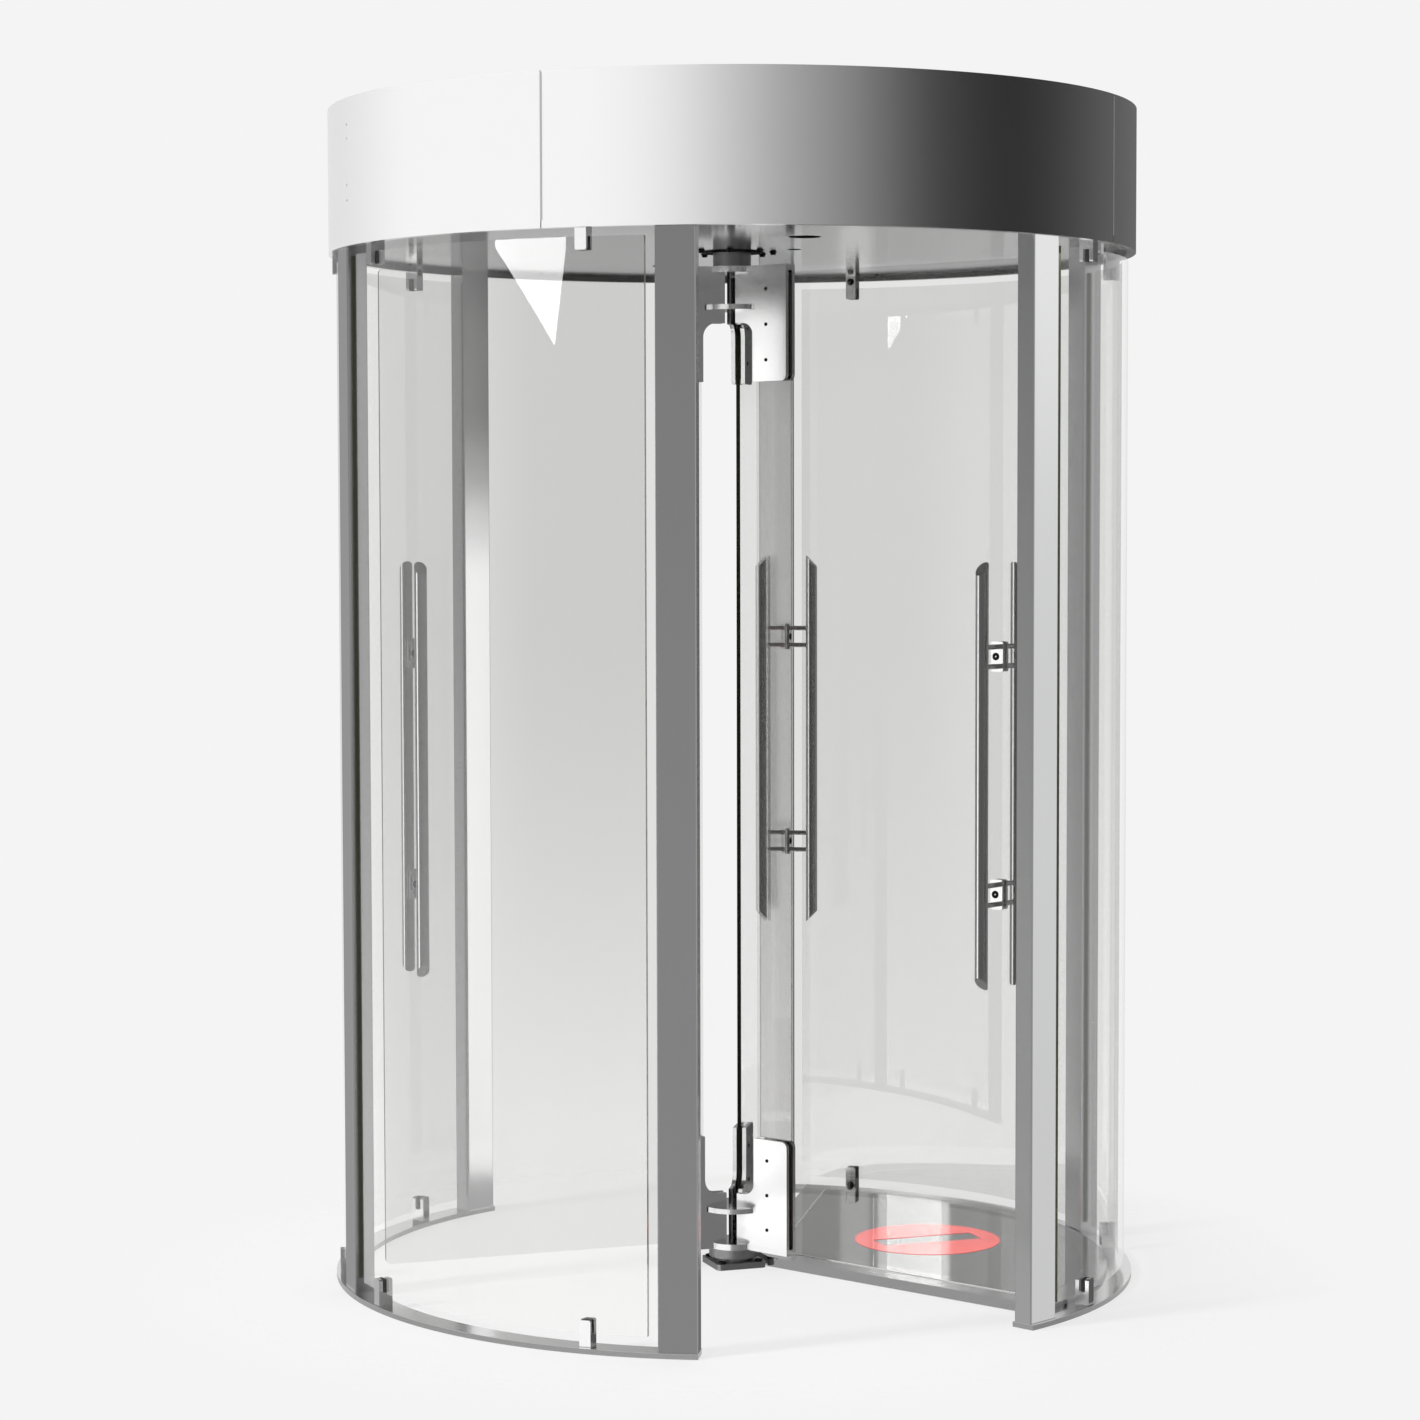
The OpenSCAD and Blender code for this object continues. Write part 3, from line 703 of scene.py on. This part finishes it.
def makeSeam(look):
    # raised bead along the straight sides of the platform's panel, coloured near-white as a painted highlight
    low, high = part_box("platform_panel")
    centre = (low + high) / 2
    corners = {(round(c.x, 5), round(c.y, 5)) for c in cornersOf("platform_panel")}
    loop = sorted((Vector(c) for c in corners), key=lambda c: math.atan2(c.y - centre.y, c.x - centre.x))
    wide, bevel = look["wide"], look["bevel"]
    bottom, top = high.z - look["deep"], high.z + look["proud"]
    profile = [(0, bottom), (wide, bottom), (wide, top - bevel), (wide - bevel, top),
               (bevel, top), (0, top - bevel)]
    mesh = bmesh.new()
    for first, second in zip(loop, loop[1:] + loop[:1]):
        way = second - first
        if way.length < look["shortest"]:                  # the curved side is many short ones
            continue
        way.normalize()
        out = Vector((way.y, -way.x))
        near, far = [[mesh.verts.new((*(spot + out * apart), z)) for apart, z in profile]
                     for spot in (first, second)]
        mesh.faces.new(near)
        mesh.faces.new(far)
        for j in range(len(near)):
            n = (j + 1) % len(near)
            mesh.faces.new((near[j], near[n], far[n], far[j]))
    newPiece("panel_seam", mesh, seamBead, "frame", look["sharp"])


makeSeam(seamLook)
print("panel seam made")


signLook = {"centreX": 0.425, "radius": 0.150, "barLength": 0.215, "barWidth": 0.062,
            "thick": 0.0006, "shoulder": 0.7, "bevel": 0.0003, "lift": 0.00005, "steps": 96, "sharp": 20,
            "red": (0.90, 0.055, 0.045), "gloss": 0.05, "wornScale": 9, "wornDetail": 3, "wornLeast": 0.93,
            "wornShade": 0.14, "wornRough": 0.03, "fineScale": 420, "fineDetail": 2, "fineBump": 0.01,
            "fineDepth": 0.0003, "density": 1.7, "coatRoughness": 0.04}


def signFinish(look):
    finish, bench = newFinish("signRed")
    place = bench.add("TexCoord").out("Object")
    worn = bench.noise(place, look["wornScale"], look["wornDetail"])
    fine = bench.noise(place, look["fineScale"], look["fineDetail"])
    colour = bench.shade(look["red"], look["wornLeast"] + worn * look["wornShade"])
    rough = look["gloss"] + (worn - 0.5) * look["wornRough"]
    bump = bench.add("Bump", {}, {"Strength": look["fineBump"], "Distance": look["fineDepth"], "Height": fine})
    bench.coverWith(bench.add("BsdfPrincipled", {}, {
        "Base Color": colour, "Roughness": rough, "Normal": bump, "IOR": look["density"],
        "Coat Weight": 1.0, "Coat Roughness": look["coatRoughness"], "Coat IOR": 1.5,
    }))
    return finish


def makeSign(look):
    # round sticker with a bar left clear, so that the steel shows through
    mesh = bmesh.new()
    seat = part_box("platform_panel")[1].z + look["lift"]
    halfLong, halfWide = look["barLength"] / 2, look["barWidth"] / 2
    far, thick, bevel = look["radius"], look["thick"], look["bevel"]
    shoulder = thick * look["shoulder"]
    corner = math.atan2(halfWide, halfLong)
    turns = [math.tau * k / look["steps"] for k in range(look["steps"])]
    turns += [t % math.tau for t in (corner, -corner, math.pi - corner, math.pi + corner)]
    loops = []
    for turn in sorted({round(t, 6) for t in turns}):
        x, y = math.cos(turn), math.sin(turn)
        near = min(halfLong / max(abs(x), 1e-6), halfWide / max(abs(y), 1e-6))     # reach of the bar that way
        rows = [(near, 0), (near, shoulder), (near + bevel, thick),
                (far - bevel, thick), (far, shoulder), (far, 0)]
        loops.append([mesh.verts.new((look["centreX"] + r * x, r * y, seat + z)) for r, z in rows])
    for loop, after in zip(loops, loops[1:] + loops[:1]):
        for j in range(len(loop)):
            n = (j + 1) % len(loop)
            mesh.faces.new((loop[j], loop[n], after[n], after[j]))
    newPiece("platform_sign", mesh, signFinish(look), "frame", look["sharp"])


makeSign(signLook)
print("sign made")


studioLook = {
    "floorSize": 6.0,
    "floorSteps": 96,
    "fade": (0.84, 1.3),        # distances between which the floor turns into air
    "paper": (0.905,) * 3,      # colour of floor and background
    "whiteness": 0.75,          # share of the floor that shadows don't reach
    "air": 0.68,                # strength of the even light
}


def finishStage(name, mesh):
    data = bpy.data.meshes.new(name)
    mesh.to_mesh(data)
    mesh.free()
    made = bpy.data.objects.new(name, data)
    scene.collection.objects.link(made)
    return made


def seenRay(bench):
    # 1 for what the camera sees, straight, in a mirror or through glass
    path = bench.add("LightPath")
    return path.either(path.out("Is Glossy Ray")).either(path.out("Is Transmission Ray"))


def makeFloor(look):
    # lit paper near the object that fades into the white air around it; mirrors see the tents instead
    mesh = bmesh.new()
    steps = look["floorSteps"]
    mesh.faces.new([mesh.verts.new((*circlePoint(look["floorSize"], k / steps), 0)) for k in range(steps)])
    floor = finishStage("floorPaper", mesh)
    floor.visible_glossy = False
    finish, bench = newFinish("paperFloor")
    distance = bench.vectors("LENGTH", bench.add("TexCoord").out("Object")).out("Value")
    lit = bench.add("BsdfDiffuse", {}, {"Color": look["paper"]})
    sheet = bench.blend(seenRay(bench) * look["whiteness"], lit, bench.glow(look["paper"]))
    bench.coverWith(bench.blend(distance.fade(*look["fade"]), sheet, bench.clear()))
    finish.cycles.emission_sampling = "NONE"
    floor.data.materials.append(finish)


def makeAir(look):
    # white paper behind the object, and the same light from all round
    world = bpy.data.worlds.new("studioAir")
    world.use_nodes = True
    scene.world = world
    bench = shaderBench(world.node_tree)
    paper = bench.add("Background", {}, {"Color": look["paper"], "Strength": 1.0})
    light = bench.add("Background", {}, {"Color": (1, 1, 1), "Strength": look["air"]})
    dark = bench.add("Background", {}, {"Color": (0, 0, 0), "Strength": 0.0})
    shown = bench.blend(bench.add("LightPath").out("Is Glossy Ray"), paper, dark)
    bench.coverWith(bench.blend(seenRay(bench), light, shown), "OutputWorld")


# how bright the tents' walls are: degrees left of the camera's side, brightness
drumWall = [(-180, 0.17), (-151, 0.155), (-133, 0.13), (-118, 0.10), (-99, 0.05), (-82, 0.026), (-68, 0.042),
            (-55, 0.066), (-42, 0.165), (-30, 0.30), (-19, 0.395), (-8, 0.54), (4, 0.75), (15, 0.97),
            (28, 1.11), (38, 1.145), (104, 1.145), (122, 1.0), (138, 0.91), (150, 0.87), (180, 0.87)]
postLow = [(-180, 0.20), (-150, 0.20), (-110, 0.40), (-90, 0.45), (-60, 0.52), (-33, 0.60), (-10, 0.40),
           (15, 0.385), (50, 0.42), (82, 0.60), (110, 0.50), (147, 0.43), (180, 0.25)]
postHigh = [(-180, 0.20), (-150, 0.20), (-110, 0.40), (-90, 0.45), (-60, 0.52), (-33, 0.60), (-10, 0.36),
            (15, 0.325), (50, 0.31), (82, 0.32), (110, 0.40), (147, 0.43), (180, 0.25)]
deckLow = [(-180, 0.57), (-150, 0.50), (-105, 0.33), (-40, 0.42), (0, 0.47), (60, 0.47), (110, 0.45), (180, 0.57)]
deckHigh = [(-180, 0.385), (-174.6, 0.385), (-174, 0.80), (-172.5, 0.80), (-170, 0.40), (-120, 0.35),
            (0, 0.40), (120, 0.6), (172, 0.75), (176, 0.60), (179, 0.40), (180, 0.385)]
hubLow = [(-180, 0.30), (-172, 0.22), (-160, 0.08), (-130, 0.10), (-60, 0.25), (-38, 0.20), (0, 0.30),
          (13, 0.45), (18, 1.20), (95, 1.18), (110, 0.60), (140, 0.45), (180, 0.30)]
hubHigh = [(-180, 0.30), (-172, 0.22), (-160, 0.08), (-130, 0.10), (-60, 0.25), (-38, 0.18), (0, 0.30),
           (13, 0.45), (18, 1.25), (42, 1.25), (54, 0.20), (80, 0.02), (95, 0.10), (140, 0.40), (180, 0.30)]
barWall = [(-180, 0.45), (-120, 0.30), (-95, 0.14), (0, 0.11), (55, 0.13), (62, 1.6), (86, 1.6), (93, 0.25),
           (110, 0.45), (150, 0.40), (180, 0.45)]
wingLow = [(-180, 0.85), (-155, 0.85), (-135, 0.4), (-110, 0.05), (40, 0.05), (70, 1.1), (90, 1.1),
           (110, 0.10), (180, 0.85)]
wingHigh = [(-180, 0.52), (-155, 0.52), (-135, 0.3), (-110, 0.05), (40, 0.05), (70, 0.8), (90, 0.8),
            (110, 0.10), (180, 0.52)]
glassWall = [(-180, 0.55), (-152, 1.05), (-138, 1.05), (-115, 0.85), (-95, 0.62), (-60, 0.15), (0, 0.10),
             (40, 0.10), (58, 0.25), (66, 0.8), (78, 1.75), (90, 1.9), (110, 1.6), (125, 1.2), (140, 0.95),
             (150, 0.9), (180, 0.4)]
groundWall = [(-180, 0), (-15, 0), (0, 0.8), (20, 1), (58, 0.95), (80, 0.4), (110, 0.2), (180, 0.05)]

# lamp behind the turnstile, mirrored in its floor: wide band and narrow band, by side and rise in degrees
stripLook = {"bandStart": (-177.47, -177.42), "bandEnd": (-176.22, -176.16),
             "bandSlope": (-177.46, -176.2, 0.83, 1.15),
             "thinStart": (-178.14, -178.08), "thinEnd": (-177.63, -177.57), "thinLevel": 0.33,
             "foot": (4, 6), "head": (18, 24), "level": 0.75}
# glow of the ground, mirrored in the lower glass
groundLook = {"wall": groundWall, "rise": (-2, -10.5), "power": 1.4, "deepest": (-30, -18), "level": 3.9}

# one shell for each family of parts: its radius in metres, and its walls below and above eye level;
# the spare one is for every part that isn't on its list
tents = {
    "drumTent": {"radius": 120, "low": drumWall, "high": drumWall, "lit": "canopy_panel"},
    "postTent": {"radius": 95, "low": postLow, "high": postHigh, "turnover": (-8, 5), "lit": "post_"},
    "deckTent": {"radius": 115, "low": deckLow, "high": deckHigh, "strip": stripLook,
                 "lit": ("platform", "floor_ring", "canopy_soffit", "soffit_screws")},
    "barTent": {"radius": 100, "low": barWall, "high": barWall,
                "lit": ("pull_bars", "bar_clamps", "clamp_screws")},
    "glassTent": {"radius": 105, "low": glassWall, "high": glassWall, "ground": groundLook, "lit": "wall_glass"},
    "wingTent": {"radius": 98, "low": wingLow, "high": wingHigh, "lit": "wing_glass"},
    "roomTent": {"radius": 110, "low": hubLow, "high": hubHigh, "spare": True,
                 "lit": ("canopy_panel", "post_", "platform", "floor_ring", "canopy_soffit", "soffit_screws",
                         "pull_bars", "bar_clamps", "clamp_screws", "wall_glass", "wing_glass")},
}
tentLook = {"height": 1.3, "segments": 96, "rings": 48, "turnover": (1.5, 3.2), "rampTop": 2.5}


def makeTent(name, look):
    # big shell that only mirrors see, perhaps with a strip lamp at the back or a glow of the ground
    mesh = bmesh.new()
    bmesh.ops.create_uvsphere(mesh, u_segments=tentLook["segments"], v_segments=tentLook["rings"],
                              radius=look["radius"])
    tent = finishStage(name, mesh)
    tent.location = (0, 0, tentLook["height"])
    finish, bench = newFinish(name + "Cloth")
    x, y, z = bench.split(bench.vectors("NORMALIZE", bench.add("TexCoord").out("Object")))
    turn = math.radians(lookFrom["azimuth"])
    towards = x * math.sin(turn) - y * math.cos(turn)        # 1 towards the camera
    left = -(x * math.cos(turn) + y * math.sin(turn))        # 1 to its left
    side = left.angle(towards) * math.degrees(1)
    rise = z.arcsine() * math.degrees(1)
    around = side.spread(-180, 180)
    top = tentLook["rampTop"]                                # ramps hold 0 to 1, walls are brighter

    def wall(levels):
        return bench.add("ValToRGB", {"stops": [((a + 180) / 360, b / top) for a, b in levels]}, {0: around})

    turnover = rise.fade(*look.get("turnover", tentLook["turnover"]))
    glow = bench.glow(bench.shade(bench.tint(turnover, wall(look["low"]), wall(look["high"])), top))
    extra = None
    if "strip" in look:
        extra = stripLevel(side, rise, look["strip"])
    if "ground" in look:
        ground = look["ground"]
        depth = rise.spread(*ground["rise"]) ** ground["power"] * rise.fade(*ground["deepest"])
        extra = bench.shade(wall(ground["wall"]), depth * (ground["level"] * top))
    if extra is not None:
        glow = bench.add("AddShader", {}, {0: glow, 1: bench.glow(extra)})
    hangCloth(tent, finish, bench, glow)
    linkLight(tent, name + "Lit", look["lit"], look.get("spare", False))


def stripLevel(side, rise, look):
    band = side.fade(*look["bandStart"]) * (1 - side.fade(*look["bandEnd"]))
    band = band * rise.fade(*look["foot"]) * (1 - rise.fade(*look["head"]))
    band = band * side.spread(*look["bandSlope"])
    thin = side.fade(*look["thinStart"]) * (1 - side.fade(*look["thinEnd"])) * look["thinLevel"]
    return (band + thin) * look["level"]


def hangCloth(made, finish, bench, glow):
    # only mirrors see it, and those that it isn't linked to see past it
    bench.coverWith(bench.add("AddShader", {}, {0: glow, 1: bench.clear()}))
    finish.cycles.emission_sampling = "NONE"
    made.data.materials.append(finish)
    for ray in ("camera", "diffuse", "transmission", "shadow", "volume_scatter"):
        setattr(made, "visible_" + ray, False)


def linkLight(lamp, name, starts, leaveOut=False):
    # the lamp lights only the parts whose names begin like that, or all the others
    group = bpy.data.collections.new(name)
    for made in scene.objects:
        if made.name.startswith(starts):
            group.objects.link(made)
    if leaveOut:
        for member in group.collection_objects:
            member.light_linking.link_state = "EXCLUDE"
    lamp.light_linking.receiver_collection = group


def makeCard(name, corners, levels, starts):
    # glowing sheet that only the named parts mirror; levels are height, brightness
    mesh = bmesh.new()
    mesh.faces.new([mesh.verts.new(c) for c in corners])
    card = finishStage(name, mesh)
    finish, bench = newFinish(name + "Cloth")
    height = bench.split(bench.add("TexCoord").out("Object"))[2]
    level = levels[0][1]
    for (low, first), (high, second) in zip(levels, levels[1:]):
        level = level + height.fade(low, high, 0, second - first)
    hangCloth(card, finish, bench, bench.glow(level))
    linkLight(card, name + "Lit", starts)


def standingCard(look):
    # corners of an upright sheet that looks at the rotor or another way
    out = Vector((*look["at"], 0))
    across = onAzimuth(look.get("faces", azimuthOf(out)) + 90, look["width"] / 2)
    low, high = Vector((0, 0, look["low"])), Vector((0, 0, look["high"]))
    return [out - across + low, out + across + low, out + across + high, out - across + high]


cards = {
    "rightCard": {"at": (3.6, -1.5), "width": 2.4, "low": -1.6, "high": 3.6, "lit": "post_front_right",
                  "levels": [(-1.0, 0.56), (1.2, 0.63), (2.4, 0.94)]},
    "rearCard": {"at": (0.079, 0.516), "faces": -110, "width": 0.34, "low": 0.0, "high": 2.0,
                 "lit": "post_rear_left",
                 "levels": [(0.0, 1.42), (1.38, 1.75), (1.50, 1.1), (1.62, 0.38), (1.74, 0.05)]},
    "frontCard": {"at": (0.122, 0.340), "faces": 146.4, "width": 0.30, "low": 0.0, "high": 2.1,
                  "lit": "post_rear_right", "levels": [(0.0, 0.95), (1.0, 0.62), (1.9, 0.36)]},
    "plateCard": {"at": (-0.223, 0.026), "faces": 80.3, "width": 0.225, "low": 1.6, "high": 2.1,
                  "lit": "clamp_plates_top", "levels": [(1.80, 0.97), (1.90, 0.88), (1.98, 0.0)]},
    "lowPlateCard": {"at": (-0.236, -0.053), "faces": 80.3, "width": 0.34, "low": -0.2, "high": 0.4,
                     "lit": "clamp_plates_bottom",
                     "levels": [(-0.06, 0.0), (0.0, 0.06), (0.07, 0.34), (0.18, 0.8)]},
}

# corner of the big soft lamp, mirrored in the wall glass: degrees left of the camera's side, degrees up
glassCardLook = {"outline": [(50.7, 2.74), (70, 4.45), (70, 16), (44, 16), (47.1, 4.45)], "distance": 90.0,
                 "seenFrom": (-0.55, -0.55, 1.8), "levels": [(0, 11.8), (1, 11.8)], "lit": "wall_glass"}


def skyCard(look):
    # corners of a far sheet, given by the directions in which it is seen
    corners = []
    for side, rise in look["outline"]:
        turn = math.radians(rise)
        ahead = onAzimuth(lookFrom["azimuth"] - side, math.cos(turn), math.sin(turn))
        corners.append(Vector(look["seenFrom"]) + ahead * look["distance"])
    return corners


def softLamp(name, look):
    data = bpy.data.lights.new(name, "AREA")
    data.shape = "SQUARE"
    data.size = look["size"]
    data.energy = look["power"]
    lamp = bpy.data.objects.new(name, data)
    scene.collection.objects.link(lamp)
    lamp.location = look["spot"]
    lamp.rotation_euler = (Vector(look["aim"]) - Vector(look["spot"])).to_track_quat("-Z", "Y").to_euler()
    lamp.visible_camera = False
    lamp.visible_glossy = False
    return lamp


keyLook = {"spot": (-9.4, -1.6, 4.4), "aim": (0, 0, 0.4), "size": 1.3, "power": 840}
insideLook = {"spot": (0.1, -0.1, 2.0), "aim": (0.1, -0.1, 0.0), "size": 1.3, "power": 14}
signLampLook = {"spot": (0.45, -0.1, 1.95), "aim": (0.43, 0, 0), "size": 0.8, "power": 60}

makeFloor(studioLook)
makeAir(studioLook)
for name, look in tents.items():
    makeTent(name, look)
softLamp("keyLamp", keyLook)
softLamp("insideLamp", insideLook)
linkLight(softLamp("signLamp", signLampLook), "signLampLit", "platform_sign")
for name, look in cards.items():
    makeCard(name, standingCard(look), look["levels"], look["lit"])
makeCard("glassCard", skyCard(glassCardLook), glassCardLook["levels"], glassCardLook["lit"])
print("studio built")
